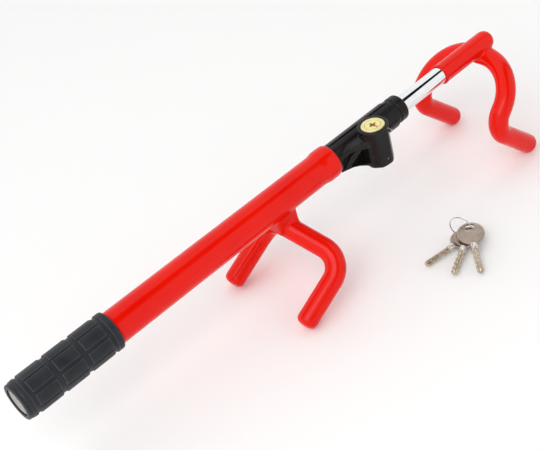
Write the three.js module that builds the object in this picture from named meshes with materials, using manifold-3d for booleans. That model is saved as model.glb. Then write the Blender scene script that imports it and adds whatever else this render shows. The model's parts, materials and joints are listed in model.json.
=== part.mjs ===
// Double-hook steering wheel lock with its three cross keys.
// Millimetres, +Z up. The lock is drawn about its rod axis, X, with x = 0 at the grip's end,
// then stands on its four prongs: the last lines tilt it and bring the origin to the floor.
import * as THREE from 'three';
import { mergeVertices } from 'three/addons/utils/BufferGeometryUtils.js';
import Module from 'manifold-3d';

const wasm = await Module();
wasm.setup();

// ---------------------------------------------------------------- driving dimensions
const GAP = 0.3; // clearance between neighbouring pieces
const STANCE = THREE.MathUtils.degToRad(2.07); // the rod axis rises towards the upper hook

const TUBE_R = 12.7; // 1 inch steel tube
const TUBE_BORE_R = 11.1;
const TUBE_START = 7;
const COAT_END = 337.5; // the vinyl's flared end, against the housing
const COAT_R = 14.4;
const FLARE_R = 15.4;

const GRIP_LENGTH = 91.7;
const GRIP_R = 17.1;
const GRIP_GROOVE_R = 15.9;
const GRIP_SLOTS = 8;
const GRIP_SLOT_START = 12; // degrees from the top of the bar
const GRIP_SLOT_HALF = 0.8;
const GRIP_BANDS = [[8, 11], [31.5, 36], [56.5, 61], [82, 85.5]]; // grooves round the grip
const CAP_X = 1.2;
const CAP_R = 11.8;
const CAP_END = 14;

const ROD_R = 8; // 5/8 inch chromed rod
const ROD_BORE_R = 8.3;
const ROD_TAIL = 62;
const ROD_END = 548;
const ROD_SIDES = 16;
const TAIL_SEAT_R = 6.6; // the bush's groove in the rod
const TAIL_SEAT = [6, 20]; // from the rod's tail
const NOTCH_PITCH = 24;
const NOTCH_COUNT = 10; // travel is (NOTCH_COUNT - 1) * NOTCH_PITCH = 216
const NOTCH_R = 5.9;
const NOTCH_WIDTH = 6;
const WIPER_X = [420, 424];
const WIPER_R = 9.65;

const BAR_R = 7.25; // bent hook bars
const HOOK_R = 9.25; // outside their vinyl
const BAR_SIDES = 10;
const LOWER_TIP = new THREE.Vector3(237.8, -47.6, -84.7);
const LOWER_CORNER = new THREE.Vector3(291, -47.6, -57.7);
const LOWER_WELD = new THREE.Vector3(272.7, 0, -26.3);
const LOWER_BENDS = [20.4, 12, 20.4];
const LOWER_STEPS = 26;
const UPPER_TIP = new THREE.Vector3(534.2, -47, -95.4);
const UPPER_BEND = new THREE.Vector3(491.4, -47, -51.7);
const UPPER_ARCH = new THREE.Vector3(538.8, -47, -10.6);
const UPPER_BENDS = [18.5, 43, 43, 18.5];
const UPPER_STEPS = 34;
const SPACER_X = 9;
const SPACER_Y = 6.5;
const BOOT = 2; // vinyl round the spacer
const SLEEVE_START = 482.5;
const SLEEVE_END = 554;
const SLEEVE_R = 9.5;

const HOUSING_START = 338;
const HOUSING_END = 427;
const HOUSING_R = 12.2;
const LOCK_X = 376.3; // vertical axis of the lock cylinder
const LOCK_Y = -19.2;
const FACE_Z = 19.4;
const BOSS_R = 14.1;
const BOSS_FOOT_R = 12.8;
const BOSS_FOOT_Z = -19.5;
const BOSS_FOOT_HEIGHT = 4;
const BOSS_RIM = 1.2;
const FACET_SIDES = 7;
const FACET_TURN = 8;
const FACET_REACH = 0.8; // the flats' corners outside the boss foot
const BELLY_R = 13.6;
const BELLY_END = 414;
const NECK_START = 416; // the groove before the collar
const NECK_END = 418;
const NECK_R = 11.4;
const COLLAR_R = 12.4;
const SPIGOT_START = 300;
const WEB_SIDE = [
  [HOUSING_START, -11.5], [LOCK_X - 12, -18], [LOCK_X, -18], [LOCK_X, 9],
  [352, 9], [HOUSING_START, 6],
];
const WEB_PLAN = [
  [HOUSING_START, 0], [HOUSING_START, -11.5], [350, -14],
  [LOCK_X - 11, LOCK_Y - 4.5], [LOCK_X, LOCK_Y - 4.5], [LOCK_X, 0],
];
const WEB_POCKETS = [
  { outline: [[341, 0], [349.5, 2.5], [342, -9.5]], floor: -10 },
  { outline: [[352.5, 3], [360, 4], [360, -13.5], [346, -10.5]], floor: -10.8 },
];
const GROOVES = [[-2, 339, 414], [38, 392, 416]]; // degrees from the top, start and end
const HOUSING_PIN_X = 324;
const HOUSING_PIN_R = 1.6;
const CYLINDER_PIN_X = LOCK_X + 11.2;
const CYLINDER_PIN_Z = 9;
const FOOT_PIN_Z = -13;
const SMALL_PIN_R = 1.3;
const CYLINDER_R = 10.6;
const PLUG_R = 7;
const CYLINDER_Z = 3; // underside of the cylinder
const PIN_ROWS = 4; // one tumbler on each side of the cross
const FIRST_ROW = 45; // degrees
const TUMBLER_Z = 13;
const TUMBLER_R = 0.9;
const TUMBLER_END = 4.2; // distance of its inner end from the plug's axis
const DRIVER_LENGTH = 1.4;
const CAM_THROW = 1.5;
const BOLT_Z = -3.1; // middle height of the locking bolt
const BOLT_HEIGHT = 6.6;
const BOLT_X = 4.5; // half widths of the bolt's body and nose
const NOSE_X = 2.3;
const BOLT_BACK = -9.2; // from the lock's axis
const BOLT_FRONT = 4.4;
const NOSE_END = -8.5;

const KEY_LENGTH = 52; // ring hole to blade tip
const BOW_R = 12.2;
const BOW_OFFSET = 7.4;
const BOW_THICK = 2.2;
const KEY_HOLE_R = 3.1;
const SHOULDER_R = 3.2;
const FIN_WIDTH = 1.7;
const RING_R = 10.5;
const RING_WIRE_R = 0.6;
const RING_HEIGHT = RING_R + RING_WIRE_R + 0.3;
const RING_REACH = 8.4; // from the ring's middle to the key holes
const RING_HEADING = THREE.MathUtils.degToRad(105);
const RING_HOLE = new THREE.Vector2(405.5, -86.5);
const KEY_FAN = [[-188, 4.5, 1.2], [-156, 8.6, 5.6], [-130, 13, 10.4]]; // heading, height, dip
const BLADE_R = 3.05;
const SHOULDER_X = 19.9;
const SHOULDER_END = 26;
const NECK_TAB_X = 22.6; // end of the bow's tab inside the shoulder
const NECK_TAB_Y = 2.4;

// ---------------------------------------------------------------- materials
function material(color, roughness, metalness) {
  return new THREE.MeshStandardMaterial({ color, roughness, metalness });
}

const VINYL = [0xe8200f, 0.25, 0];
const BLACK_PLASTIC = [0x2b2c30, 0.45, 0];
const BLACK_CASTING = [0x1b1a1a, 0.25, 0.3];
const CHROME = [0xe4e5e6, 0.08, 1];
const STEEL = [0x8c8f92, 0.4, 1];
const BRASS = [0xd8c163, 0.35, 1];
const NICKEL = [0xa8947f, 0.3, 1];
const GREY_PLASTIC = [0xa7a39b, 0.5, 0];
const WHITE_PLASTIC = [0xd9d6cc, 0.5, 0];

// ---------------------------------------------------------------- solids
function solid(geometry) {
  const bare = geometry.clone();
  bare.deleteAttribute('normal');
  bare.deleteAttribute('uv');
  const merged = mergeVertices(bare, 1e-4);
  const mesh = new wasm.Mesh({
    numProp: 3,
    vertProperties: new Float32Array(merged.attributes.position.array),
    triVerts: new Uint32Array(merged.index.array),
  });
  mesh.merge();
  return new wasm.Manifold(mesh);
}

function geometryOf(body) {
  const mesh = body.getMesh();
  const geometry = new THREE.BufferGeometry();
  geometry.setAttribute('position', new THREE.BufferAttribute(mesh.vertProperties, 3));
  geometry.setIndex(new THREE.BufferAttribute(mesh.triVerts, 1));
  return geometry;
}

function join(...bodies) {
  return bodies.reduce((whole, body) => whole.add(body));
}

function cut(body, ...tools) {
  return tools.reduce((rest, tool) => rest.subtract(tool), body);
}

function move(body, x, y, z) {
  return body.translate([x, y, z]);
}

// Solid of revolution about X from [x, radius] points in order of growing x.
function turned(profile, sides = 32) {
  const points = profile.map(([x, r]) => new THREE.Vector2(r, x));
  return solid(new THREE.LatheGeometry(points, sides).rotateZ(-Math.PI / 2));
}

function rodAlongX(x0, x1, radius, sides = 32) {
  return turned([[x0, 0], [x0, radius], [x1, radius], [x1, 0]], sides);
}

function ringAlongX(x0, x1, inner, outer, sides = 32) {
  return turned([[x0, inner], [x0, outer], [x1, outer], [x1, inner], [x0, inner]], sides);
}

// Round bar standing along Z, with its own foot and top radius.
function postAlongZ(x, y, z0, z1, radius, sides = 32, footRadius = radius) {
  const geometry = new THREE.CylinderGeometry(radius, footRadius, z1 - z0, sides);
  return move(solid(geometry.rotateX(Math.PI / 2)), x, y, (z0 + z1) / 2);
}

function pinAlongY(x, y0, y1, z, radius, sides = 12) {
  const geometry = new THREE.CylinderGeometry(radius, radius, y1 - y0, sides);
  return move(solid(geometry), x, (y0 + y1) / 2, z);
}

function block(x0, x1, y0, y1, z0, z1) {
  const geometry = new THREE.BoxGeometry(x1 - x0, y1 - y0, z1 - z0);
  return move(solid(geometry), (x0 + x1) / 2, (y0 + y1) / 2, (z0 + z1) / 2);
}

// Plate of constant thickness, standing in the XZ plane between y0 and y1.
function plateXZ(points, y0, y1) {
  const shape = new THREE.Shape(points.map(([x, z]) => new THREE.Vector2(x, z)));
  const geometry = new THREE.ExtrudeGeometry(shape, { depth: y1 - y0, bevelEnabled: false });
  return move(solid(geometry.rotateX(Math.PI / 2)), 0, y1, 0);
}

// Plate of constant thickness, lying in the XY plane between z0 and z1.
function plateXY(points, z0, z1) {
  const shape = new THREE.Shape(points.map(([x, y]) => new THREE.Vector2(x, y)));
  const geometry = new THREE.ExtrudeGeometry(shape, { depth: z1 - z0, bevelEnabled: false });
  return move(solid(geometry), 0, 0, z0);
}

// ---------------------------------------------------------------- bent bars
class Arc3 extends THREE.Curve {
  constructor(center, from, side, angle) {
    super();
    Object.assign(this, { center, from, side, angle });
  }

  getPoint(t, target = new THREE.Vector3()) {
    return target.copy(this.center)
      .addScaledVector(this.from, Math.cos(this.angle * t))
      .addScaledVector(this.side, Math.sin(this.angle * t));
  }
}

// Straight runs joined by arcs: radii[i] rounds the corner at points[i + 1].
function bentPath(points, radii) {
  const path = new THREE.CurvePath();
  let start = points[0];
  radii.forEach((radius, i) => {
    const corner = points[i + 1];
    const into = corner.clone().sub(points[i]).normalize();
    const away = points[i + 2].clone().sub(corner).normalize();
    const angle = into.angleTo(away);
    const setback = radius * Math.tan(angle / 2);
    const arcStart = corner.clone().addScaledVector(into, -setback);
    const inward = away.clone().addScaledVector(into, -away.dot(into)).normalize();
    const center = arcStart.clone().addScaledVector(inward, radius);
    path.add(new THREE.LineCurve3(start, arcStart));
    path.add(new Arc3(center, inward.multiplyScalar(-radius), into.multiplyScalar(radius), angle));
    start = corner.clone().addScaledVector(away, setback);
  });
  path.add(new THREE.LineCurve3(start, points[points.length - 1]));
  return path;
}

function sweep(path, radius, steps) {
  const section = new THREE.Shape();
  for (let i = 0; i < BAR_SIDES; i += 1) {
    const turn = (2 * Math.PI * (i + 0.5)) / BAR_SIDES;
    const x = radius * Math.cos(turn);
    const y = radius * Math.sin(turn);
    if (i === 0) section.moveTo(x, y);
    else section.lineTo(x, y);
  }
  section.closePath();
  return solid(new THREE.ExtrudeGeometry(section, { steps, extrudePath: path, bevelEnabled: false }));
}

function ball(center, radius) {
  return move(solid(new THREE.SphereGeometry(radius, 12, 8)), center.x, center.y, center.z);
}

function mirrored(points) {
  const left = points.map((p) => new THREE.Vector3(p.x, -p.y, p.z)).reverse();
  return [...points, ...left];
}

// Each list runs from the near prong's tip to the middle of the hook.
const lowerHalf = [LOWER_TIP, LOWER_CORNER];
const lowerPath = bentPath(
  [...lowerHalf, LOWER_WELD, ...mirrored(lowerHalf).slice(lowerHalf.length)],
  LOWER_BENDS,
);
const upperPath = bentPath(mirrored([UPPER_TIP, UPPER_BEND, UPPER_ARCH]), UPPER_BENDS);

// ---------------------------------------------------------------- barrel
function barrelTube() {
  const tube = ringAlongX(TUBE_START, COAT_END - GAP, TUBE_BORE_R, TUBE_R);
  const pinHoles = pinAlongY(HOUSING_PIN_X, -TUBE_R - 2, TUBE_R + 2, 0, HOUSING_PIN_R + GAP);
  return cut(tube, pinHoles);
}

function barrelCoating() {
  const inner = TUBE_R + GAP;
  const coat = turned([
    [GRIP_LENGTH + GAP, inner],
    [GRIP_LENGTH + GAP, COAT_R + 0.2],
    [COAT_END - 18, COAT_R - 0.2],
    [COAT_END - 9, FLARE_R - 0.1],
    [COAT_END - 1.5, FLARE_R],
    [COAT_END, FLARE_R - 1],
    [COAT_END, inner],
    [GRIP_LENGTH + GAP, inner],
  ]);
  return cut(coat, spacerBlock(GAP));
}

// The block that carries the lower hook, larger all round by the given margin.
function spacerBlock(margin) {
  const { x, z } = LOWER_WELD;
  return block(
    x - SPACER_X - margin, x + SPACER_X + margin,
    -SPACER_Y - margin, SPACER_Y + margin,
    z, -10,
  );
}

function hookSpacer() {
  return cut(
    spacerBlock(0),
    rodAlongX(LOWER_WELD.x - 20, LOWER_WELD.x + 20, TUBE_R + GAP),
    sweep(lowerPath, BAR_R + GAP, LOWER_STEPS),
  );
}

function lowerHookCoating() {
  const { x, z } = LOWER_WELD;
  const boot = block(
    x - SPACER_X - BOOT, x + SPACER_X + BOOT,
    -SPACER_Y - BOOT, SPACER_Y + BOOT,
    z - BOOT, 1 - COAT_R,
  );
  const skin = join(
    sweep(lowerPath, HOOK_R, LOWER_STEPS),
    ball(LOWER_TIP, HOOK_R),
    ball(new THREE.Vector3(LOWER_TIP.x, -LOWER_TIP.y, LOWER_TIP.z), HOOK_R),
    boot,
  );
  return cut(
    skin,
    sweep(lowerPath, BAR_R + GAP, LOWER_STEPS),
    spacerBlock(GAP),
    rodAlongX(x - 30, x + 30, COAT_R + 0.3 + GAP),
  );
}

// ---------------------------------------------------------------- grip
function grip() {
  const seat = TUBE_START - GAP;
  const profile = [[0, TUBE_BORE_R + 1], [0, 14.4], [0.8, 15.3], [4, 16.4]];
  GRIP_BANDS.forEach(([from, to]) => {
    profile.push([from, GRIP_R], [from, GRIP_GROOVE_R], [to, GRIP_GROOVE_R], [to, GRIP_R]);
  });
  profile.push([GRIP_LENGTH - 0.8, GRIP_R], [GRIP_LENGTH, GRIP_R - 0.8]);
  profile.push([GRIP_LENGTH, TUBE_R + GAP], [seat, TUBE_R + GAP], [seat, TUBE_BORE_R + 1]);
  profile.push(profile[0]);
  const slotStart = GRIP_BANDS[0][0] + 1.5;
  const slotEnd = GRIP_BANDS[GRIP_BANDS.length - 1][1] - 1.5;
  const slots = [];
  for (let i = 0; i < GRIP_SLOTS; i += 1) {
    const slot = block(
      slotStart, slotEnd,
      -GRIP_SLOT_HALF, GRIP_SLOT_HALF,
      GRIP_GROOVE_R, GRIP_R + 1,
    );
    slots.push(slot.rotate([GRIP_SLOT_START + (360 * i) / GRIP_SLOTS, 0, 0]));
  }
  return cut(turned(profile), ...slots);
}

function gripEndCap() {
  const step = TUBE_START - 2 * GAP;
  const disc = turned([
    [CAP_X, 0], [CAP_X, CAP_R - 0.5], [CAP_X + 0.6, CAP_R], [step, CAP_R],
    [step, CAP_R - 1], [CAP_END, CAP_R - 1.2], [CAP_END, 0],
  ]);
  return cut(disc, block(0, 4, -0.9, 0.9, 2, 6));
}

// ---------------------------------------------------------------- housing
function boss() {
  const footTop = BOSS_FOOT_Z + BOSS_FOOT_HEIGHT;
  const rimZ = FACE_Z - BOSS_RIM;
  const facetFoot = BOSS_FOOT_R + FACET_REACH;
  const post = postAlongZ(LOCK_X, LOCK_Y, footTop, FACE_Z, BOSS_R, 36, BOSS_FOOT_R);
  const foot = postAlongZ(LOCK_X, LOCK_Y, BOSS_FOOT_Z, footTop, BOSS_FOOT_R, 36, BOSS_FOOT_R - 2);
  const rim = postAlongZ(LOCK_X, LOCK_Y, rimZ, FACE_Z + 1, BOSS_R - 0.3, 36);
  const facets = postAlongZ(0, 0, BOSS_FOOT_Z - 1, rimZ, BOSS_R, FACET_SIDES, facetFoot);
  const turnedFacets = move(facets.rotate([0, 0, FACET_TURN]), LOCK_X, LOCK_Y, 0);
  return join(post, foot).intersect(join(turnedFacets, rim));
}

// Web from the barrel's end to the boss: a side outline and a plan outline, crossed.
function neckWeb() {
  const side = plateXZ(WEB_SIDE, LOCK_Y - 10, 0);
  return side.intersect(plateXY(WEB_PLAN, BOSS_FOOT_Z, 10));
}

// Two cast pockets in the web's outer side leave a slanting rib between them.
function neckPockets() {
  return WEB_POCKETS.map(({ outline, floor: depth }) => plateXZ(outline, LOCK_Y - 12, depth));
}

function housingGrooves() {
  return GROOVES.map(([turn, from, to]) => {
    const groove = block(from, to, -0.8, 0.8, HOUSING_R - 1, HOUSING_R + 3);
    return groove.rotate([turn, 0, 0]);
  });
}

// Belly under the rod, from the boss towards the collar.
function housingBelly() {
  const side = plateXZ([[LOCK_X, -13], [BELLY_END, -13.4], [BELLY_END, 0], [LOCK_X, 0]], -12.5, 0);
  return side.intersect(rodAlongX(LOCK_X, BELLY_END, BELLY_R, 36));
}

function housingShell() {
  return turned([
    [SPIGOT_START, 0], [SPIGOT_START, TUBE_BORE_R - GAP], [HOUSING_START, TUBE_BORE_R - GAP],
    [HOUSING_START, 13], [344, HOUSING_R], [NECK_START, HOUSING_R], [NECK_START, NECK_R],
    [NECK_END, NECK_R], [NECK_END, COLLAR_R], [HOUSING_END - 1.5, COLLAR_R], [HOUSING_END, 11],
    [HOUSING_END, 0],
  ], 36);
}

function cylinderPin(radius, margin) {
  return pinAlongY(CYLINDER_PIN_X, -29 - margin, LOCK_Y + 2.6 + margin, CYLINDER_PIN_Z, radius);
}

function footPin(radius, margin) {
  return pinAlongY(LOCK_X, -30.6 - margin, LOCK_Y - 5.4 + margin, FOOT_PIN_Z, radius);
}

function boltSpace() {
  const half = BOLT_HEIGHT / 2 + GAP;
  const x = BOLT_X + GAP;
  const nose = NOSE_X + GAP;
  const front = LOCK_Y + 7.2;
  return join(
    block(LOCK_X - x, LOCK_X + x, LOCK_Y - 9.6, front, BOSS_FOOT_Z - 1, BOLT_Z + half),
    block(LOCK_X - nose, LOCK_X + nose, LOCK_Y, -5, BOLT_Z - half, BOLT_Z + half),
  );
}

function lockHousing() {
  return cut(
    join(housingShell(), neckWeb(), boss(), housingBelly()),
    rodAlongX(SPIGOT_START - 1, HOUSING_END + 1, ROD_BORE_R, ROD_SIDES),
    postAlongZ(LOCK_X, LOCK_Y, CYLINDER_Z - GAP, FACE_Z + 2, CYLINDER_R + GAP),
    postAlongZ(LOCK_X, LOCK_Y, 0, CYLINDER_Z, PLUG_R + 0.4),
    boltSpace(),
    pinAlongY(HOUSING_PIN_X, -TUBE_R, TUBE_R, 0, HOUSING_PIN_R + GAP),
    cylinderPin(SMALL_PIN_R + GAP, 0.4),
    footPin(SMALL_PIN_R + GAP, 0.4),
    rodAlongX(WIPER_X[0], WIPER_X[1], WIPER_R + GAP, ROD_SIDES),
    ...neckPockets(),
    ...housingGrooves(),
  );
}

// Cross pin through the spigot's wall: side -1 is the near one, 1 the far one.
function housingPin(side) {
  const inner = side * (ROD_BORE_R + 0.4);
  const outer = side * (TUBE_R - 0.1);
  return pinAlongY(
    HOUSING_PIN_X, Math.min(inner, outer), Math.max(inner, outer),
    0, HOUSING_PIN_R,
  );
}

// ---------------------------------------------------------------- lock cylinder
function rowHeading(row) {
  return FIRST_ROW + (360 * row) / PIN_ROWS;
}

function tumblerBore(row, from, to, radius) {
  const bore = rodAlongX(from, to, radius, 10).rotate([0, 0, rowHeading(row)]);
  return move(bore, LOCK_X, LOCK_Y, TUMBLER_Z);
}

function forEachRow(makeTool) {
  return Array.from({ length: PIN_ROWS }, (_, row) => makeTool(row));
}

function cylinderBody() {
  return cut(
    postAlongZ(LOCK_X, LOCK_Y, CYLINDER_Z, FACE_Z, CYLINDER_R, 40),
    postAlongZ(LOCK_X, LOCK_Y, CYLINDER_Z - 1, FACE_Z + 1, PLUG_R + GAP, 40),
    cylinderPin(SMALL_PIN_R + GAP, 0.4),
    ...forEachRow((row) => tumblerBore(row, PLUG_R - 1, 10.1, TUMBLER_R + GAP)),
  );
}

function crossShape(width, length, z0, z1) {
  return join(
    block(LOCK_X - length, LOCK_X + length, LOCK_Y - width, LOCK_Y + width, z0, z1),
    block(LOCK_X - width, LOCK_X + width, LOCK_Y - length, LOCK_Y + length, z0, z1),
  );
}

function keyPlug() {
  const barrel = postAlongZ(LOCK_X, LOCK_Y, CYLINDER_Z - 0.2, FACE_Z + 0.1, PLUG_R, 40);
  const tang = block(LOCK_X - 2.5, LOCK_X + 2.5, LOCK_Y - 1.5, LOCK_Y + 1.5, 1.4, CYLINDER_Z + 1);
  return cut(
    join(barrel, tang),
    crossShape(1, 3.4, CYLINDER_Z + 3, FACE_Z + 1),
    ...forEachRow((row) => tumblerBore(row, TUMBLER_END - GAP, PLUG_R + 1, TUMBLER_R + GAP)),
  );
}

function lockCam() {
  const disc = postAlongZ(LOCK_X, LOCK_Y, 0.7, 2.4, PLUG_R - 0.2, 28);
  const reach = CAM_THROW * Math.SQRT1_2;
  const crank = postAlongZ(LOCK_X + reach, LOCK_Y - reach, BOLT_Z - 2, 1, 1.6, 16);
  const socket = block(LOCK_X - 2.8, LOCK_X + 2.8, LOCK_Y - 1.8, LOCK_Y + 1.8, 1.1, 3);
  return cut(join(disc, crank), socket);
}

function lockingBolt() {
  const half = BOLT_HEIGHT / 2;
  const low = BOLT_Z - half;
  const high = BOLT_Z + half;
  const front = LOCK_Y + BOLT_FRONT;
  const body = block(LOCK_X - BOLT_X, LOCK_X + BOLT_X, LOCK_Y + BOLT_BACK, front, low, high);
  const nose = block(LOCK_X - NOSE_X, LOCK_X + NOSE_X, front - 1, NOSE_END, low, high);
  const reach = CAM_THROW * Math.SQRT1_2;
  const slot = block(
    LOCK_X + reach - 2.3, LOCK_X + CAM_THROW + 2.3,
    LOCK_Y - reach - 2, LOCK_Y - reach + 2,
    low - 1, high + 1,
  );
  return cut(join(body, nose), slot);
}

function bossPlug() {
  const top = BOLT_Z - BOLT_HEIGHT / 2 - GAP;
  const body = block(
    LOCK_X - BOLT_X, LOCK_X + BOLT_X,
    LOCK_Y - 9.3, LOCK_Y + 6.9,
    BOSS_FOOT_Z + 0.2, top,
  );
  return cut(body, footPin(SMALL_PIN_R + GAP, 0.4));
}

function tumbler(row) {
  return tumblerBore(row, TUMBLER_END, PLUG_R - 0.1, TUMBLER_R);
}

function driver(row) {
  return tumblerBore(row, PLUG_R + GAP, PLUG_R + GAP + DRIVER_LENGTH, TUMBLER_R);
}

// Two turns of wire joined by a short upright stand for the spring.
function driverSpring(row) {
  const start = PLUG_R + 2 * GAP + DRIVER_LENGTH - 0.05;
  const turn = (x) => ringAlongX(x, x + 0.3, 0.35, 0.8, 6);
  const spine = block(start, start + 0.95, -0.15, 0.15, 0.4, 0.65);
  const coil = join(turn(start), turn(start + 0.65), spine);
  return move(coil.rotate([0, 0, rowHeading(row)]), LOCK_X, LOCK_Y, TUMBLER_Z);
}

// ---------------------------------------------------------------- rod and upper hook
function rod() {
  const [seatStart, seatEnd] = TAIL_SEAT.map((x) => ROD_TAIL + x);
  const profile = [[ROD_TAIL, 0], [ROD_TAIL, ROD_R - 1], [ROD_TAIL + 1, ROD_R]];
  profile.push([seatStart, ROD_R], [seatStart, TAIL_SEAT_R]);
  profile.push([seatEnd, TAIL_SEAT_R], [seatEnd, ROD_R]);
  for (let i = NOTCH_COUNT - 1; i >= 0; i -= 1) {
    const middle = LOCK_X - i * NOTCH_PITCH;
    const half = NOTCH_WIDTH / 2;
    profile.push([middle - half - 1, ROD_R], [middle - half, NOTCH_R]);
    profile.push([middle + half, NOTCH_R], [middle + half + 1, ROD_R]);
  }
  profile.push([ROD_END - 2, ROD_R], [ROD_END, ROD_R - 2], [ROD_END, 0]);
  return cut(turned(profile, ROD_SIDES), sweep(upperPath, BAR_R + GAP, UPPER_STEPS));
}

function tailBush() {
  const [start, end] = TAIL_SEAT.map((x) => ROD_TAIL + x);
  return ringAlongX(start + GAP, end - GAP, TAIL_SEAT_R + GAP, TUBE_BORE_R - GAP, ROD_SIDES);
}

function rodWiper() {
  return ringAlongX(WIPER_X[0] + GAP, WIPER_X[1] - GAP, ROD_R + 0.25, WIPER_R, ROD_SIDES);
}

function rodSleeve() {
  const skin = turned([
    [SLEEVE_START, 0], [SLEEVE_START, SLEEVE_R], [SLEEVE_START + 1, SLEEVE_R + 0.4],
    [SLEEVE_START + 3, SLEEVE_R], [SLEEVE_END - 5, SLEEVE_R], [SLEEVE_END - 1.6, SLEEVE_R - 2.4],
    [SLEEVE_END, SLEEVE_R - 6], [SLEEVE_END, 0],
  ], ROD_SIDES);
  return cut(
    skin,
    rodAlongX(SLEEVE_START - 1, ROD_END + GAP, ROD_BORE_R + 0.05, ROD_SIDES),
    sweep(upperPath, BAR_R + GAP, UPPER_STEPS),
  );
}

function upperHookCoating() {
  const skin = join(
    sweep(upperPath, HOOK_R, UPPER_STEPS),
    ball(UPPER_TIP, HOOK_R),
    ball(new THREE.Vector3(UPPER_TIP.x, -UPPER_TIP.y, UPPER_TIP.z), HOOK_R),
  );
  return cut(
    skin,
    sweep(upperPath, BAR_R + GAP, UPPER_STEPS),
    rodAlongX(SLEEVE_START - 5, SLEEVE_END + 9, SLEEVE_R + 0.4 + GAP, ROD_SIDES),
  );
}

// ---------------------------------------------------------------- keys
// A key lies along +X from the ring hole at its origin, with its bow in the XY plane.
function keyBow() {
  const half = BOW_THICK / 2;
  const disc = postAlongZ(BOW_OFFSET, 0, -half, half, BOW_R);
  const tab = block(BOW_OFFSET, NECK_TAB_X, -NECK_TAB_Y, NECK_TAB_Y, -half, half);
  return cut(join(disc, tab), postAlongZ(0, 0, -half - 1, half + 1, KEY_HOLE_R, 16));
}

// Bitting: three square cuts in each of the blade's four fins.
function bladeCuts(length) {
  const cuts = [];
  for (let side = 0; side < 4; side += 1) {
    for (let i = 0; i < 3; i += 1) {
      const x = SHOULDER_END + 4 + (length / 4) * i + side * 1.3;
      const depth = 2.1 + 0.25 * ((i + side) % 3);
      cuts.push(block(x, x + 2.4, -2, 2, depth, 5).rotate([90 * side, 0, 0]));
    }
  }
  return cuts;
}

function keyBlade() {
  const start = SHOULDER_END - 0.5;
  const shoulder = turned([
    [SHOULDER_X, 0], [SHOULDER_X, SHOULDER_R], [SHOULDER_END, SHOULDER_R], [SHOULDER_END, 0],
  ], 20);
  const fin = block(start, KEY_LENGTH, -3, 3, -FIN_WIDTH / 2, FIN_WIDTH / 2);
  const cross = join(fin, fin.rotate([90, 0, 0]));
  const envelope = turned([
    [start - 0.5, 0], [start - 0.5, BLADE_R], [KEY_LENGTH - 2, BLADE_R],
    [KEY_LENGTH, 1.6], [KEY_LENGTH, 0],
  ], 16);
  const half = BOW_THICK / 2 + GAP;
  const tab = NECK_TAB_Y + GAP;
  const slot = block(SHOULDER_X - 2, NECK_TAB_X + 0.4, -tab, tab, -half, half);
  const blade = join(shoulder, cross.intersect(envelope));
  return cut(blade, slot, ...bladeCuts(KEY_LENGTH - start));
}

function keyRing() {
  return solid(new THREE.TorusGeometry(RING_R, RING_WIRE_R, 6, 28));
}

// ---------------------------------------------------------------- assembly
const object = new THREE.Group();
const stand = new THREE.Group();
const lock = new THREE.Group();
lock.rotation.y = -STANCE;
stand.add(lock);
object.add(stand);

function place(parent, name, body, look) {
  const mesh = new THREE.Mesh(geometryOf(body), material(...look));
  mesh.name = name;
  parent.add(mesh);
}

place(lock, 'barrel_tube', barrelTube(), STEEL);
place(lock, 'barrel_coating', barrelCoating(), VINYL);
place(lock, 'grip', grip(), BLACK_PLASTIC);
place(lock, 'grip_end_cap', gripEndCap(), GREY_PLASTIC);
place(lock, 'hook_spacer', hookSpacer(), STEEL);
place(lock, 'lower_hook_bar', sweep(lowerPath, BAR_R, LOWER_STEPS), STEEL);
place(lock, 'lower_hook_coating', lowerHookCoating(), VINYL);
place(lock, 'lock_housing', lockHousing(), BLACK_CASTING);
place(lock, 'housing_pin_near', housingPin(-1), STEEL);
place(lock, 'housing_pin_far', housingPin(1), STEEL);
place(lock, 'rod_wiper', rodWiper(), BLACK_PLASTIC);
place(lock, 'cylinder_body', cylinderBody(), BRASS);
place(lock, 'cylinder_pin', cylinderPin(SMALL_PIN_R, 0), STEEL);
place(lock, 'boss_plug', bossPlug(), BLACK_CASTING);
place(lock, 'boss_plug_pin', footPin(SMALL_PIN_R, 0), STEEL);
place(lock, 'key_plug', keyPlug(), BRASS);
place(lock, 'lock_cam', lockCam(), STEEL);
place(lock, 'locking_bolt', lockingBolt(), STEEL);
for (let row = 0; row < PIN_ROWS; row += 1) {
  place(lock, `tumbler_${row + 1}`, tumbler(row), BRASS);
  place(lock, `driver_pin_${row + 1}`, driver(row), STEEL);
  place(lock, `driver_spring_${row + 1}`, driverSpring(row), STEEL);
}
place(lock, 'rod', rod(), CHROME);
place(lock, 'rod_tail_bush', tailBush(), WHITE_PLASTIC);
place(lock, 'rod_sleeve', rodSleeve(), VINYL);
place(lock, 'upper_hook_bar', sweep(upperPath, BAR_R, UPPER_STEPS), STEEL);
place(lock, 'upper_hook_coating', upperHookCoating(), VINYL);

// The prongs' lowest points set the floor under the tilted lock.
const floor = Math.sin(STANCE) * LOWER_TIP.x + Math.cos(STANCE) * LOWER_TIP.z - HOOK_R;

// Keys fan out from their ring, each lying over the one before it.
KEY_FAN.forEach(([heading, height, dip], i) => {
  const key = new THREE.Group();
  key.rotation.set(0, THREE.MathUtils.degToRad(dip), THREE.MathUtils.degToRad(heading), 'ZYX');
  key.position.set(RING_HOLE.x, RING_HOLE.y, floor + height);
  place(key, `key_bow_${i + 1}`, keyBow(), NICKEL);
  place(key, `key_blade_${i + 1}`, keyBlade(), NICKEL);
  stand.add(key);
});

const ringHolder = new THREE.Group();
ringHolder.rotation.set(Math.PI / 2, 0, RING_HEADING, 'ZYX');
ringHolder.position.set(
  RING_HOLE.x + RING_REACH * Math.cos(RING_HEADING),
  RING_HOLE.y + RING_REACH * Math.sin(RING_HEADING),
  floor + RING_HEIGHT,
);
place(ringHolder, 'key_ring', keyRing(), STEEL);
stand.add(ringHolder);

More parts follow.
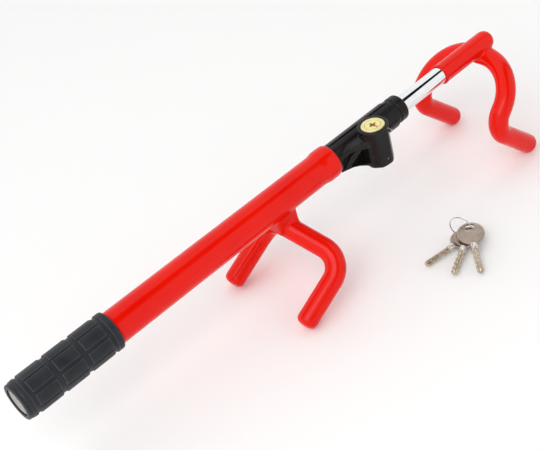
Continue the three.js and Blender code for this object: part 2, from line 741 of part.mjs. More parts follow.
// Origin: on the floor, under the middle of the whole object's box.
object.updateMatrixWorld(true);
const box = new THREE.Box3().setFromObject(object, true);
stand.position.set(-(box.min.x + box.max.x) / 2, -(box.min.y + box.max.y) / 2, -box.min.z);
object.updateMatrixWorld(true);

export default object;
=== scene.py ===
"""Looks of the steering wheel lock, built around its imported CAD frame.

Shapes are drawn in millimetres in the bar's own frame: x along the bar from the grip's end,
y across it and z up from its axis. place() puts them in the CAD frame, in metres.
"""
import json
import math

import bpy
import numpy as np
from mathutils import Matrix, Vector


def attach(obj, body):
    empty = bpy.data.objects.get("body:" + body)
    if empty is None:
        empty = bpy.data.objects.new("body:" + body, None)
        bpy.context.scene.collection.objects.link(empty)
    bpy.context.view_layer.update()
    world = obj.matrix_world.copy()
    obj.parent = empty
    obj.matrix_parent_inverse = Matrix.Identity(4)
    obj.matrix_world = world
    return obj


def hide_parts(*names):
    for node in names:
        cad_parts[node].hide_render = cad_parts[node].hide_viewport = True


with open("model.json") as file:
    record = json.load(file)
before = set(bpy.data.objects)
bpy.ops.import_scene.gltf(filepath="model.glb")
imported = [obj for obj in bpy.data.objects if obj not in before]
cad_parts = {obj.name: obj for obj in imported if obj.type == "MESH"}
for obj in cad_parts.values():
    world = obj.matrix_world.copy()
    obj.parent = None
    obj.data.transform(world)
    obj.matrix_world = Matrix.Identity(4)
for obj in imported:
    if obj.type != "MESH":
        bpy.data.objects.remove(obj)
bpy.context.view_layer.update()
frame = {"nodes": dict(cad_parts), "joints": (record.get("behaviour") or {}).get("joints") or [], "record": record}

# ------------------------------------------------------------------ the bar's own frame
MM = 0.001
JOINTS = {joint["name"]: joint for joint in frame["joints"]}
AXIS = np.array(JOINTS["rod_turn"]["axis"], float)
AXIS /= np.linalg.norm(AXIS)
SIDE = np.array([0.0, 1.0, 0.0])
TURN = np.array([AXIS, SIDE, np.cross(AXIS, SIDE)])


def world_points(node):
    """A CAD node's vertices in the CAD frame, in metres."""
    return np.array([v.co for v in frame["nodes"][node].data.vertices], float)


THROUGH = np.array(JOINTS["rod_turn"]["pos_m"], float)
START = THROUGH + AXIS * ((world_points("grip") - THROUGH) @ AXIS).min()


def place(points):
    return START + (np.asarray(points, float) @ TURN) * MM


def extent(node):
    """Lowest and highest corner of a CAD node in the bar's frame, in millimetres."""
    local = (world_points(node) - START) @ TURN.T / MM
    return local.min(0), local.max(0)



# ------------------------------------------------------------------ sizes
COAT_LO, COAT_HI = extent("barrel_coating")
COAT_R = 14.4
FLARE_R = COAT_HI[2]
TUBE_R = extent("barrel_tube")[1][2]
GRIP_LO, GRIP_HI = extent("grip")
GRIP_R = 17.1
GROOVE_R = 15.9
CYL_LO, CYL_HI = extent("cylinder_body")
LOCK_X = (CYL_LO[0] + CYL_HI[0]) / 2
LOCK_Y = (CYL_LO[1] + CYL_HI[1]) / 2
FACE_Z = CYL_HI[2]
CYLINDER_R = (CYL_HI[0] - CYL_LO[0]) / 2
PLUG_R = 7.0
ROD_LO, ROD_HI = extent("rod")
ROD_R = 8.0
BORE_R = 8.3
NOTCH_R = 5.9
NOTCH_PITCH = 24.0
NOTCH_COUNT = 10
NOTCH_HALF = 3.0
BAR_R = 7.3
HOOK_R = 9.25
HOUSING_LO, HOUSING_HI = extent("lock_housing")
SLEEVE_LO, SLEEVE_HI = extent("rod_sleeve")
SLEEVE_R = 9.5

LOWER_HOOK = [(237.8, -47.6, -84.7), (291.0, -47.6, -57.7), (272.7, 0.0, -26.3)]
LOWER_RADII = [20.4, 12.0, 20.4]
UPPER_HOOK = [(534.2, -47.0, -95.4), (491.4, -47.0, -51.7), (538.8, -47.0, -10.6)]
UPPER_RADII = [18.5, 43.0, 43.0, 18.5]


# ------------------------------------------------------------------ distance fields
def blend_min(a, b, k):
    h = np.clip(0.5 + 0.5 * (b - a) / k, 0, 1)
    return b + (a - b) * h - k * h * (1 - h)


def blend_max(a, b, k):
    return -blend_min(-a, -b, k)


def step(lo, hi, x):
    t = np.clip((x - lo) / (hi - lo), 0, 1)
    return t * t * (3 - 2 * t)


def box_field(x, y, z, lo, hi, rounding=0.0):
    """Rounded box between two corners."""
    mid, half = (np.array(lo) + hi) / 2, (np.array(hi, float) - lo) / 2 - rounding
    q = [np.abs(v - m) - h for v, m, h in zip((x, y, z), mid, half)]
    outside = np.sqrt(sum(np.maximum(v, 0) ** 2 for v in q))
    return outside + np.minimum(np.maximum(np.maximum(q[0], q[1]), q[2]), 0) - rounding


def polygon_field(u, v, corners):
    """Signed distance to a closed outline in a plane."""
    best = np.full(np.shape(u), 1e9)
    sign = np.ones(np.shape(u))
    for (ax, ay), (bx, by) in zip(corners, corners[1:] + corners[:1]):
        ex, ey = bx - ax, by - ay
        wx, wy = u - ax, v - ay
        t = np.clip((wx * ex + wy * ey) / (ex * ex + ey * ey), 0, 1)
        best = np.minimum(best, (wx - ex * t) ** 2 + (wy - ey * t) ** 2)
        above = (v >= ay, v < by, ex * wy > ey * wx)
        crossed = (above[0] & above[1] & above[2]) | ~(above[0] | above[1] | above[2])
        sign = np.where(crossed, -sign, sign)
    return sign * np.sqrt(best)


class BentBar:
    """Centre line of a bent round bar: straight runs joined by arcs."""

    def __init__(self, half, radii):
        left = [np.array(p) * (1, -1, 1) for p in half][::-1]
        if half[-1][1] == 0:
            left = left[1:]
        points = [np.array(p, float) for p in half] + left
        self.lines, self.arcs = [], []
        start = points[0]
        for i, radius in enumerate(radii):
            corner = points[i + 1]
            into = (corner - points[i]) / np.linalg.norm(corner - points[i])
            away = points[i + 2] - corner
            away = away / np.linalg.norm(away)
            angle = math.acos(float(into @ away))
            setback = radius * math.tan(angle / 2)
            inward = away - into * (away @ into)
            inward = inward / np.linalg.norm(inward)
            first = corner - into * setback
            self.lines.append((start, first))
            self.arcs.append((first + inward * radius, -inward, into, radius, angle))
            start = corner + away * setback
        self.lines.append((start, points[-1]))
        self.ends = [(points[0], points[0] - points[1]), (points[-1], points[-1] - points[-2])]

    def distance(self, x, y, z):
        p = np.stack([x, y, z], -1)
        best = np.full(np.shape(x), 1e9)
        for a, b in self.lines:
            run = b - a
            t = np.clip((p - a) @ run / (run @ run), 0, 1)
            best = np.minimum(best, ((p - a - t[..., None] * run) ** 2).sum(-1))
        for centre, u, v, radius, angle in self.arcs:
            q = p - centre
            turn = np.clip(np.arctan2(q @ v, q @ u), 0, angle)
            on = radius * (np.cos(turn)[..., None] * u + np.sin(turn)[..., None] * v)
            best = np.minimum(best, ((q - on) ** 2).sum(-1))
        return np.sqrt(best)

    def bar(self, x, y, z, radius, overhang=0.0, blunt=0.01):
        """Solid round bar whose ends stand out past the centre line's ends."""
        field = self.distance(x, y, z) - radius
        p = np.stack([x, y, z], -1)
        for end, out in self.ends:
            out = out / np.linalg.norm(out)
            field = blend_max(field, (p - end) @ out - overhang, blunt)
        return field


def shell_along_x(x, y, z, radius):
    return np.hypot(y, z) - radius


# ------------------------------------------------------------------ meshes
BLOCK = 8


def surface(field, lo, hi, cell):
    """Vertices and quads of a field's zero surface: one vertex in each cell that it crosses."""
    lo = np.array(lo, float) - 2 * cell
    count = np.ceil((np.array(hi, float) + 2 * cell - lo) / cell / BLOCK).astype(int)
    middles = [lo[i] + cell * (BLOCK * (np.arange(count[i]) + 0.5) - 0.5) for i in range(3)]
    coarse = field(*np.meshgrid(*middles, indexing="ij"))
    near = np.argwhere(np.abs(coarse) < cell * BLOCK * 1.4)
    values = coarse.repeat(BLOCK, 0).repeat(BLOCK, 1).repeat(BLOCK, 2)
    steps = np.arange(BLOCK)
    for blocks in np.array_split(near, max(1, len(near) // 300)):
        i, j, k = (blocks[:, n, None] * BLOCK + steps for n in range(3))
        i, j, k = np.broadcast_arrays(
            i[:, :, None, None], j[:, None, :, None], k[:, None, None, :]
        )
        values[i, j, k] = field(lo[0] + cell * i, lo[1] + cell * j, lo[2] + cell * k)
    inside = values < 0
    numbers = np.full(values.shape, -1)
    faces = []
    crossings = []
    for axis in range(3):
        a, b = (axis + 1) % 3, (axis + 2) % 3
        ahead = np.roll(inside, -1, axis)
        edges = np.argwhere(inside != ahead)
        edges = edges[(edges.min(1) > 0) & (edges < np.array(values.shape) - 1).all(1)]
        unit = np.eye(3, dtype=int)
        v0 = values[tuple(edges.T)]
        v1 = values[tuple((edges + unit[axis]).T)]
        at = edges + (v0 / (v0 - v1))[:, None] * unit[axis]
        ring = [edges - unit[a] - unit[b], edges - unit[b], edges, edges - unit[a]]
        crossings.append((ring, at, v0 < 0))
        for cells in ring:
            numbers[tuple(cells.T)] = 0
    used = numbers >= 0
    numbers[used] = np.arange(used.sum())
    total = np.zeros((used.sum(), 3))
    tally = np.zeros(used.sum())
    for ring, at, forward in crossings:
        quad = np.stack([numbers[tuple(cells.T)] for cells in ring], 1)
        for column in quad.T:
            for n in range(3):
                total[:, n] += np.bincount(column, at[:, n], len(tally))
            tally += np.bincount(column, minlength=len(tally))
        faces.append(np.where(forward[:, None], quad, quad[:, ::-1]))
    points = lo + cell * total / tally[:, None]
    return settle(field, points, cell), np.concatenate(faces)


def settle(field, points, cell):
    """Moves points onto the field's zero surface."""
    h = cell * 0.2
    for _ in range(3):
        value = field(*points.T)
        slope = np.stack(
            [
                (field(*(points + e).T) - field(*(points - e).T)) / (2 * h)
                for e in np.eye(3) * h
            ],
            1,
        )
        size = np.maximum((slope**2).sum(1), 0.2)
        shift = slope * (value / size)[:, None]
        length = np.maximum(np.linalg.norm(shift, axis=1), 1e-9)
        points = points - shift * np.minimum(1, 0.6 * cell / length)[:, None]
    return points


def piece(name, points, faces, material, body, nodes, smooth_angle=None):
    """A mesh object in the CAD frame that rides a body and stands for CAD nodes."""
    mesh = bpy.data.meshes.new(name)
    mesh.from_pydata(points.tolist(), [], [list(map(int, f)) for f in faces])
    mesh.validate()
    mesh.update()
    obj = bpy.data.objects.new(name, mesh)
    bpy.context.scene.collection.objects.link(obj)
    mesh.materials.append(material)
    for polygon in mesh.polygons:
        polygon.use_smooth = True
    if smooth_angle:
        mesh.set_sharp_from_angle(angle=math.radians(smooth_angle))
    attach(obj, body)
    if nodes:
        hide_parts(*nodes)
    return obj


def lathe(profile, sides=160):
    """Closed solid of revolution about x from [x, radius] points that start and end on the axis."""
    points, faces = [(profile[0][0], 0.0, 0.0)], []
    rings = profile[1:-1]
    turns = 2 * np.pi * np.arange(sides) / sides
    for x, r in rings:
        points += [(x, r * math.cos(t), r * math.sin(t)) for t in turns]
    points.append((profile[-1][0], 0.0, 0.0))
    last = len(points) - 1
    for s in range(sides):
        n = (s + 1) % sides
        faces.append((0, 1 + n, 1 + s))
        for i in range(len(rings) - 1):
            a, b = 1 + i * sides, 1 + (i + 1) * sides
            faces.append((a + s, a + n, b + n, b + s))
        end = 1 + (len(rings) - 1) * sides
        faces.append((end + s, end + n, last))
    return np.array(points), faces


def tube(path, radius, sides=14):
    """Round wire along a path, with closed ends."""
    path = np.array(path, float)
    ahead = np.gradient(path, axis=0)
    ahead /= np.linalg.norm(ahead, axis=1)[:, None]
    side = np.cross(ahead, [0.0, 0.0, 1.0])
    side /= np.linalg.norm(side, axis=1)[:, None]
    up = np.cross(side, ahead)
    points, faces = [], []
    for centre, s, u in zip(path, side, up):
        for i in range(sides):
            t = 2 * math.pi * i / sides
            points.append(centre + radius * (math.cos(t) * s + math.sin(t) * u))
    for i in range(len(path) - 1):
        for k in range(sides):
            n = (k + 1) % sides
            a, b = i * sides, (i + 1) * sides
            faces.append((a + k, b + k, b + n, a + n))
    faces.append(tuple(range(sides)))
    faces.append(tuple((len(path) - 1) * sides + k for k in reversed(range(sides))))
    return np.array(points), faces


# ------------------------------------------------------------------ materials
class Graph:
    """A node material with a Principled shader, fed from object coordinates."""

    def __init__(self, name, **values):
        self.material = bpy.data.materials.new(name)
        self.material.use_nodes = True
        self.tree = self.material.node_tree
        self.shader = self.tree.nodes["Principled BSDF"]
        for key, value in values.items():
            self.shader.inputs[key].default_value = value
        self.coords = self.tree.nodes.new("ShaderNodeTexCoord").outputs["Object"]

    def node(self, kind, settings=(), **inputs):
        made = self.tree.nodes.new(kind)
        for key, value in dict(settings).items():
            setattr(made, key, value)
        for key, value in inputs.items():
            socket = made.inputs[int(key[1:])] if key[0] == "_" else made.inputs[key]
            if isinstance(value, bpy.types.NodeSocket):
                self.tree.links.new(value, socket)
            else:
                socket.default_value = value
        return made

    def noise(self, scale, detail=4.0, rough=0.5, coords=None):
        return self.node(
            "ShaderNodeTexNoise", Vector=coords or self.coords,
            Scale=scale, Detail=detail, Roughness=rough,
        ).outputs["Fac"]

    def stretch(self, scale):
        return self.node("ShaderNodeMapping", Vector=self.coords, Scale=scale).outputs[0]

    def ramp(self, fac, *stops):
        made = self.node("ShaderNodeValToRGB", Fac=fac)
        ramp = made.color_ramp
        while len(ramp.elements) < len(stops):
            ramp.elements.new(0.5)
        for element, (at, value) in zip(ramp.elements, stops):
            element.position = at
            colour = value if isinstance(value, tuple) else (value, value, value)
            element.color = (*colour, 1.0)
        return made.outputs["Color"]

    def math(self, operation, a, b=0.0, c=0.0):
        return self.node(
            "ShaderNodeMath", {"operation": operation}, _0=a, _1=b, _2=c
        ).outputs[0]

    def mix(self, fac, a, b):
        made = self.node("ShaderNodeMix", {"data_type": "RGBA"}, Factor=fac)
        for value, socket in ((a, made.inputs[6]), (b, made.inputs[7])):
            if isinstance(value, bpy.types.NodeSocket):
                self.tree.links.new(value, socket)
            else:
                socket.default_value = (*value, 1.0)
        return made.outputs[2]

    def feed(self, name, socket):
        self.tree.links.new(socket, self.shader.inputs[name])

    def bump(self, height, strength, distance):
        made = self.node(
            "ShaderNodeBump", Height=height, Strength=strength, Distance=distance
        )
        self.feed("Normal", made.outputs[0])

    def painted_edge_highlight(self, light, amount):
        """Painted highlight: lighter colour on edges where the surface turns sharply outwards."""
        point = self.node("ShaderNodeNewGeometry").outputs["Pointiness"]
        return self.ramp(point, (0.5, 0.0), (0.5 + light, amount))


def vinyl():
    g = Graph("red_vinyl", IOR=1.45)
    g.shader.inputs["Specular IOR Level"].default_value = 0.26
    cloud = g.noise(18.0, 3.0)
    speck = g.noise(900.0, 2.0)
    tone = g.ramp(cloud, (0.3, (0.74, 0.004, 0.0005)), (0.7, (0.82, 0.009, 0.0010)))
    specks = g.ramp(speck, (0.62, 0.0), (0.8, 0.25))
    g.feed("Base Color", g.mix(specks, tone, (0.62, 0.008, 0.003)))
    g.feed("Roughness", g.ramp(g.noise(60.0, 5.0), (0.3, 0.12), (0.75, 0.22)))
    swell = g.noise(55.0, 2.0)
    g.bump(g.math("ADD", swell, g.math("MULTIPLY", speck, 0.06)), 0.12, 0.0012)
    return g.material


def grip_plastic():
    g = Graph("black_grip", Roughness=0.42, IOR=1.5)
    cloud = g.noise(70.0, 4.0)
    g.shader.inputs["Specular IOR Level"].default_value = 0.24
    tone = g.ramp(cloud, (0.3, (0.012, 0.013, 0.016)), (0.7, (0.024, 0.026, 0.031)))
    # painted highlight: lighter bluish grey on the grip's sharp outward edges
    g.feed("Base Color", g.mix(g.painted_edge_highlight(0.06, 0.6), tone, (0.10, 0.105, 0.12)))
    g.feed("Roughness", g.ramp(g.noise(300.0, 4.0), (0.3, 0.36), (0.7, 0.52)))
    grain = g.node("ShaderNodeTexVoronoi", Vector=g.coords, Scale=1500.0).outputs["Distance"]
    g.bump(grain, 0.12, 0.0003)
    return g.material


def cap_plastic():
    g = Graph("grey_plastic", Roughness=0.5)
    tone = g.ramp(g.noise(120.0), (0.3, (0.30, 0.29, 0.27)), (0.7, (0.40, 0.385, 0.36)))
    g.feed("Base Color", tone)
    g.feed("Roughness", g.ramp(g.noise(400.0), (0.3, 0.42), (0.7, 0.58)))
    g.bump(g.noise(1200.0), 0.15, 0.0003)
    return g.material


def casting():
    g = Graph("black_casting", IOR=1.45)
    g.shader.inputs["Specular IOR Level"].default_value = 0.22
    cloud = g.noise(45.0, 4.0)
    tone = g.ramp(cloud, (0.3, (0.006, 0.005, 0.0048)), (0.7, (0.013, 0.011, 0.0105)))
    # painted highlight: lighter grey on the casting's sharp outward edges
    g.feed("Base Color", g.mix(g.painted_edge_highlight(0.08, 0.4), tone, (0.05, 0.047, 0.045)))
    g.feed("Roughness", g.ramp(g.noise(110.0, 5.0), (0.3, 0.18), (0.72, 0.34)))
    peel = g.math("ADD", g.noise(260.0, 2.0), g.math("MULTIPLY", g.noise(60.0, 2.0), 2.0))
    g.bump(peel, 0.16, 0.0006)
    return g.material


def rubber():
    g = Graph("black_rubber", Roughness=0.7)
    tone = g.ramp(g.noise(200.0), (0.3, (0.015, 0.015, 0.015)), (0.7, (0.03, 0.03, 0.03)))
    g.feed("Base Color", tone)
    g.bump(g.noise(2500.0), 0.2, 0.0002)
    return g.material


def metal(name, dark, light, rough, grain=(1.0, 1.0, 1.0), scale=300.0, strength=0.1, metallic=1.0):
    """A metal whose grain is stretched along an axis, with duller patches."""
    g = Graph(name, Metallic=metallic)
    lines = g.noise(scale, 3.0, coords=g.stretch(grain))
    patches = g.noise(90.0, 5.0)
    tone = g.ramp(patches, (0.3, dark), (0.7, light))
    streaks = g.ramp(lines, (0.35, 0.0), (0.75, 0.25))
    g.feed("Base Color", g.mix(streaks, tone, tuple(0.75 * c for c in dark)))
    g.feed("Roughness", g.ramp(patches, (0.3, rough * 0.75), (0.75, rough * 1.35)))
    g.bump(lines, strength, 0.0002)
    return g.material


def turned_gold(centre):
    """Pale gold with fine rings turned round the lock cylinder's axis."""
    g = Graph("gold_brass", Metallic=0.75)
    away = g.node(
        "ShaderNodeVectorMath", {"operation": "SUBTRACT"}, _0=g.coords, _1=tuple(centre)
    ).outputs[0]
    reach = g.node("ShaderNodeVectorMath", {"operation": "LENGTH"}, _0=away).outputs["Value"]
    rings = g.math("SINE", g.math("MULTIPLY", reach, 2 * math.pi / 0.00045))
    patches = g.noise(260.0, 4.0)
    g.feed("Base Color", g.ramp(patches, (0.3, (0.80, 0.70, 0.30)), (0.7, (0.90, 0.82, 0.42))))
    g.feed("Roughness", g.ramp(patches, (0.3, 0.30), (0.75, 0.46)))
    g.bump(rings, 0.12, 0.0001)
    return g.material


def nylon():
    g = Graph("white_nylon", Roughness=0.5)
    tone = g.ramp(g.noise(150.0), (0.3, (0.72, 0.70, 0.64)), (0.7, (0.82, 0.80, 0.74)))
    g.feed("Base Color", tone)
    g.bump(g.noise(900.0), 0.15, 0.0002)
    return g.material


def red_paint():
    g = Graph("red_paint", Roughness=0.35)
    tone = g.ramp(g.noise(900.0), (0.3, (0.55, 0.01, 0.01)), (0.7, (0.75, 0.02, 0.02)))
    g.feed("Base Color", tone)
    return g.material


FACE_CENTRE = place([[LOCK_X, LOCK_Y, FACE_Z]])[0]
LOOKS = {
    "red_vinyl": vinyl(),
    "black_grip": grip_plastic(),
    "grey_plastic": cap_plastic(),
    "black_casting": casting(),
    "black_rubber": rubber(),
    "gold_brass": turned_gold(FACE_CENTRE),
    "pin_brass": metal("pin_brass", (0.62, 0.46, 0.18), (0.76, 0.60, 0.27), 0.3),
    "chrome": metal(
        "chrome", (0.82, 0.83, 0.85), (0.90, 0.90, 0.91), 0.045, (0.05, 1.0, 1.0), 500.0, 0.02
    ),
    "white_nylon": nylon(),
    "key_nickel": metal("key_nickel", (0.34, 0.27, 0.22), (0.50, 0.42, 0.36), 0.3, scale=700.0),
    "key_bronze": metal("key_bronze", (0.44, 0.36, 0.26), (0.66, 0.58, 0.46), 0.2, scale=900.0),
    "spring_steel": metal(
        "spring_steel", (0.50, 0.50, 0.51), (0.68, 0.68, 0.69), 0.16, scale=900.0
    ),
    "plain_steel": metal("plain_steel", (0.30, 0.30, 0.31), (0.48, 0.48, 0.49), 0.36, scale=500.0),
}
KEY_SHINE = metal("key_shine", (0.62, 0.58, 0.54), (0.80, 0.77, 0.74), 0.12, scale=900.0)
for subpart in frame["record"]["subparts"]:
    materials = frame["nodes"][subpart["node"]].data.materials
    materials.clear()
    materials.append(LOOKS[subpart["material_slot"]])


# ------------------------------------------------------------------ red vinyl
lower = BentBar(LOWER_HOOK, LOWER_RADII)
upper = BentBar(UPPER_HOOK, UPPER_RADII)
WELD_Z = LOWER_HOOK[2][2]
SPACER_LO, SPACER_HI = extent("hook_spacer")
TIP_OVERHANG = 8.9
TIP_BLUNT = 6.0
SKIN = 2.0
FLARE_START = COAT_HI[0] - 19


def coat_radius(x):
    """The dipped coat thins a little along the bar, then swells at its rolled lip."""
    taper = COAT_R + 0.2 - 0.4 * (x - COAT_LO[0]) / (COAT_HI[0] - COAT_LO[0])
    lip = (FLARE_R - COAT_R + 0.2) * step(FLARE_START, FLARE_START + 9, x)
    return taper + lip - 0.5 * step(COAT_HI[0] - 5, COAT_HI[0] + 1, x)


def barrel_vinyl(x, y, z):
    coat = shell_along_x(x, y, z, coat_radius(x))
    coat = blend_max(coat, x - COAT_HI[0], 1.6)
    coat = blend_max(coat, COAT_LO[0] - x, 0.6)
    hook = lower.bar(x, y, z, HOOK_R, TIP_OVERHANG, TIP_BLUNT)
    boot = box_field(
        x, y, z,
        (SPACER_LO[0] - SKIN, SPACER_LO[1] - SKIN, WELD_Z - SKIN),
        (SPACER_HI[0] + SKIN, SPACER_HI[1] + SKIN, -4.0),
        1.6,
    )
    skin = blend_min(blend_min(hook, boot, 2.2), coat, 1.4)
    hollow = np.minimum(
        np.minimum(shell_along_x(x, y, z, TUBE_R + 0.1), lower.bar(x, y, z, BAR_R)),
        box_field(x, y, z, SPACER_LO - 0.05, (SPACER_HI[0] + 0.05, SPACER_HI[1] + 0.05, 0.0)),
    )
    return np.maximum(skin, -hollow)


def upper_vinyl(x, y, z):
    lip = 0.4 * (1 - step(SLEEVE_LO[0] + 1, SLEEVE_LO[0] + 5, x))
    sleeve = shell_along_x(x, y, z, SLEEVE_R + lip)
    sleeve = blend_max(sleeve, x - SLEEVE_HI[0], 9.0)
    sleeve = blend_max(sleeve, SLEEVE_LO[0] - x, 0.9)
    hook = upper.bar(x, y, z, HOOK_R, TIP_OVERHANG, TIP_BLUNT)
    skin = blend_min(hook, sleeve, 3.0)
    rod = np.maximum(shell_along_x(x, y, z, ROD_R + 0.1), x - ROD_HI[0])
    return np.maximum(skin, -np.minimum(rod, upper.bar(x, y, z, BAR_R)))


def span(*nodes):
    corners = np.array([extent(node) for node in nodes])
    return corners[:, 0].min(0), corners[:, 1].max(0)


VINYL_CELL = 0.85
points, faces = surface(barrel_vinyl, *span("barrel_coating", "lower_hook_coating"), VINYL_CELL)
piece("barrel_and_hook_vinyl", place(points), faces, LOOKS["red_vinyl"], "barrel",
      ["barrel_coating", "lower_hook_coating"])
points, faces = surface(upper_vinyl, *span("rod_sleeve", "upper_hook_coating"), VINYL_CELL)
piece("upper_hook_vinyl", place(points), faces, LOOKS["red_vinyl"], "rod",
      ["rod_sleeve", "upper_hook_coating"])

# ------------------------------------------------------------------ grip
GRIP_ROWS = [(11.0, 31.5), (36.0, 56.5), (61.0, 82.0)]
GRIP_COLLAR = 85.5
GRIP_RING = 8.0
PAD_COUNT = 8
PAD_START = math.radians(102)
SLOT_WIDTH = 1.7
WIDE_SLOT = 2.9
PAD_CORNER = 1.0
PAD_CROWN = 0.0072  # how fast a pad falls off towards its sides
GRIP_BORE = (6.7, 12.1)  # where the bore widens, and its radius before that


def grip_field(x, y, z):
    r = np.hypot(y, z)
    turn = (np.arctan2(z, y) - PAD_START) % (2 * math.pi)
    pitch = 2 * math.pi / PAD_COUNT
    index = np.floor(turn / pitch)
    across = (turn - (index + 0.5) * pitch) * GRIP_R
    wide = (index % 4 == 0) | (index % 4 == 1)
    half_width = pitch * GRIP_R / 2 - SLOT_WIDTH / 2
    shift = np.where(index % 4 == 0, -1, 1) * (WIDE_SLOT - SLOT_WIDTH) / 4
    narrow = np.where(wide, (WIDE_SLOT - SLOT_WIDTH) / 4, 0)
    across = across - np.where(wide, shift, 0)
    half_width = half_width - narrow
    crown = GRIP_R - PAD_CROWN * across**2
    field = shell_along_x(x, y, z, GROOVE_R)
    for from_x, to_x in GRIP_ROWS:
        along = np.abs(x - (from_x + to_x) / 2) - (to_x - from_x) / 2 + PAD_CORNER
        sideways = np.abs(across) - half_width + PAD_CORNER
        outline = np.hypot(np.maximum(along, 0), np.maximum(sideways, 0)) - PAD_CORNER
        outline = outline + np.minimum(np.maximum(along, sideways), 0)
        field = np.minimum(field, blend_max(outline, r - crown, 0.7))
    collar = blend_max(blend_max(r - GRIP_R, GRIP_COLLAR - x, 0.7), x - GRIP_HI[0], 1.4)
    ring_r = np.interp(x, [0, 0.8, 4, GRIP_RING], [14.4, 15.3, 16.4, 16.9])
    ring = blend_max(r - ring_r, x - GRIP_RING, 0.7)
    field = np.minimum(np.minimum(field, collar), ring)
    field = blend_max(field, -x, 1.2)
    field = blend_max(field, x - GRIP_HI[0], 0.4)
    bore = np.where(x < GRIP_BORE[0], GRIP_BORE[1], TUBE_R + 0.15)
    return np.maximum(field, -(r - bore))


points, faces = surface(grip_field, GRIP_LO, GRIP_HI, 0.42)
piece("moulded_grip", place(points), faces, LOOKS["black_grip"], "barrel", ["grip"])

CAP_LO, CAP_HI = extent("grip_end_cap")
CAP_R = CAP_HI[2]


def cap_field(x, y, z):
    r = np.hypot(y, z)
    disc = blend_max(r - CAP_R, CAP_LO[0] - x, 1.0)
    disc = np.maximum(disc, np.where(x > 6.4, r - 10.7, -1.0))
    disc = np.maximum(disc, x - CAP_HI[0])
    dish = np.hypot(np.maximum(r - 8.6, 0), x - CAP_LO[0]) - 0.5
    slot = box_field(x, y, z, (0.0, -1.0, 1.6), (4.0, 1.0, 6.2), 0.5)
    return blend_max(blend_max(disc, -dish, 0.4), -slot, 0.3)


points, faces = surface(cap_field, CAP_LO, CAP_HI, 0.35)
piece("grip_end_disc", place(points), faces, LOOKS["grey_plastic"], "barrel",
      ["grip_end_cap"])

# ------------------------------------------------------------------ lock housing
HOUSING_R = 12.2
HOUSING_FRONT = COAT_HI[0] + 0.5
NECK_END = 416.0
NECK_DEPTH = 0.8
COLLAR_START = 418.0
COLLAR_R = 12.4
SPIGOT_R = 10.8
RIDGE_START = 339.0
RIDGE_END = 412.0
RIDGE_R = 13.0
BELLY_R = 13.6
BELLY_END = 414.0
BOSS_R = 14.1
BOSS_FOOT_R = 12.8
BOSS_FOOT_Z = HOUSING_LO[2]
BOSS_RIM = 1.3
FACETS = 7
FACET_REACH = 0.8  # the flats' corners outside the boss foot
GROOVE_HALF = 0.55
FACET_TURN = math.radians(8)
GROOVES = [(88.0, 339.0, 414.0), (128.0, 394.0, 414.5)]  # degrees round the bar, start and end


def housing_radius(x):
    front = np.interp(x, [HOUSING_FRONT, HOUSING_FRONT + 6], [13.0, HOUSING_R])
    neck = NECK_DEPTH * step(NECK_END - 0.8, NECK_END, x)
    neck = neck * (1 - step(COLLAR_START - 0.3, COLLAR_START + 0.5, x))
    collar = (COLLAR_R - HOUSING_R) * step(COLLAR_START - 0.5, COLLAR_START, x)
    return np.where(x < HOUSING_FRONT, SPIGOT_R, front - neck + collar)


def boss_field(x, y, z):
    dx, dy = x - LOCK_X, y - LOCK_Y
    t = np.clip((FACE_Z - z) / (FACE_Z - BOSS_FOOT_Z), 0, 1)
    cone = np.hypot(dx, dy) - (BOSS_R + (BOSS_FOOT_R - BOSS_R) * t)
    facet_r = (BOSS_R + (BOSS_FOOT_R + FACET_REACH - BOSS_R) * t) * math.cos(math.pi / FACETS)
    facets = np.full(np.shape(x), -1e9)
    for i in range(FACETS):
        turn = FACET_TURN + 2 * math.pi * (i + 0.5) / FACETS
        side = dx * math.sin(turn) + dy * math.cos(turn) - facet_r
        facets = blend_max(facets, side, 0.9)
    rim = np.maximum(FACE_Z - BOSS_RIM - z, np.hypot(dx, dy) - BOSS_R + 0.2)
    body = blend_max(cone, blend_min(facets, rim, 0.8), 0.6)
    body = blend_max(body, z - FACE_Z, BOSS_RIM)
    return blend_max(body, BOSS_FOOT_Z - z, 2.6)


WEB_START = 338.0
WEB_END = 376.3  # inside the boss
WEB_SIDE = [
    (WEB_START, -10.6), (355.0, -12.4), (360.5, -14.6), (366.0, -18.4),
    (WEB_END, -18.4), (WEB_END, 9.0), (352.0, 9.0), (WEB_START, 6.0),
]
WEB_PLAN = [
    (WEB_START, 0.0), (WEB_START, -11.5), (350.0, -14.0),
    (365.3, -23.7), (WEB_END, -23.7), (WEB_END, 0.0),
]
POCKETS = [  # outline in x and z, then how deep the floor lies in y
    ([(340.2, 1.5), (355.0, 4.6), (341.0, -9.4)], -9.6),
    ([(358.8, 3.6), (363.2, 3.6), (363.2, -12.6), (352.0, -11.0), (347.5, -9.8)], -10.8),
]


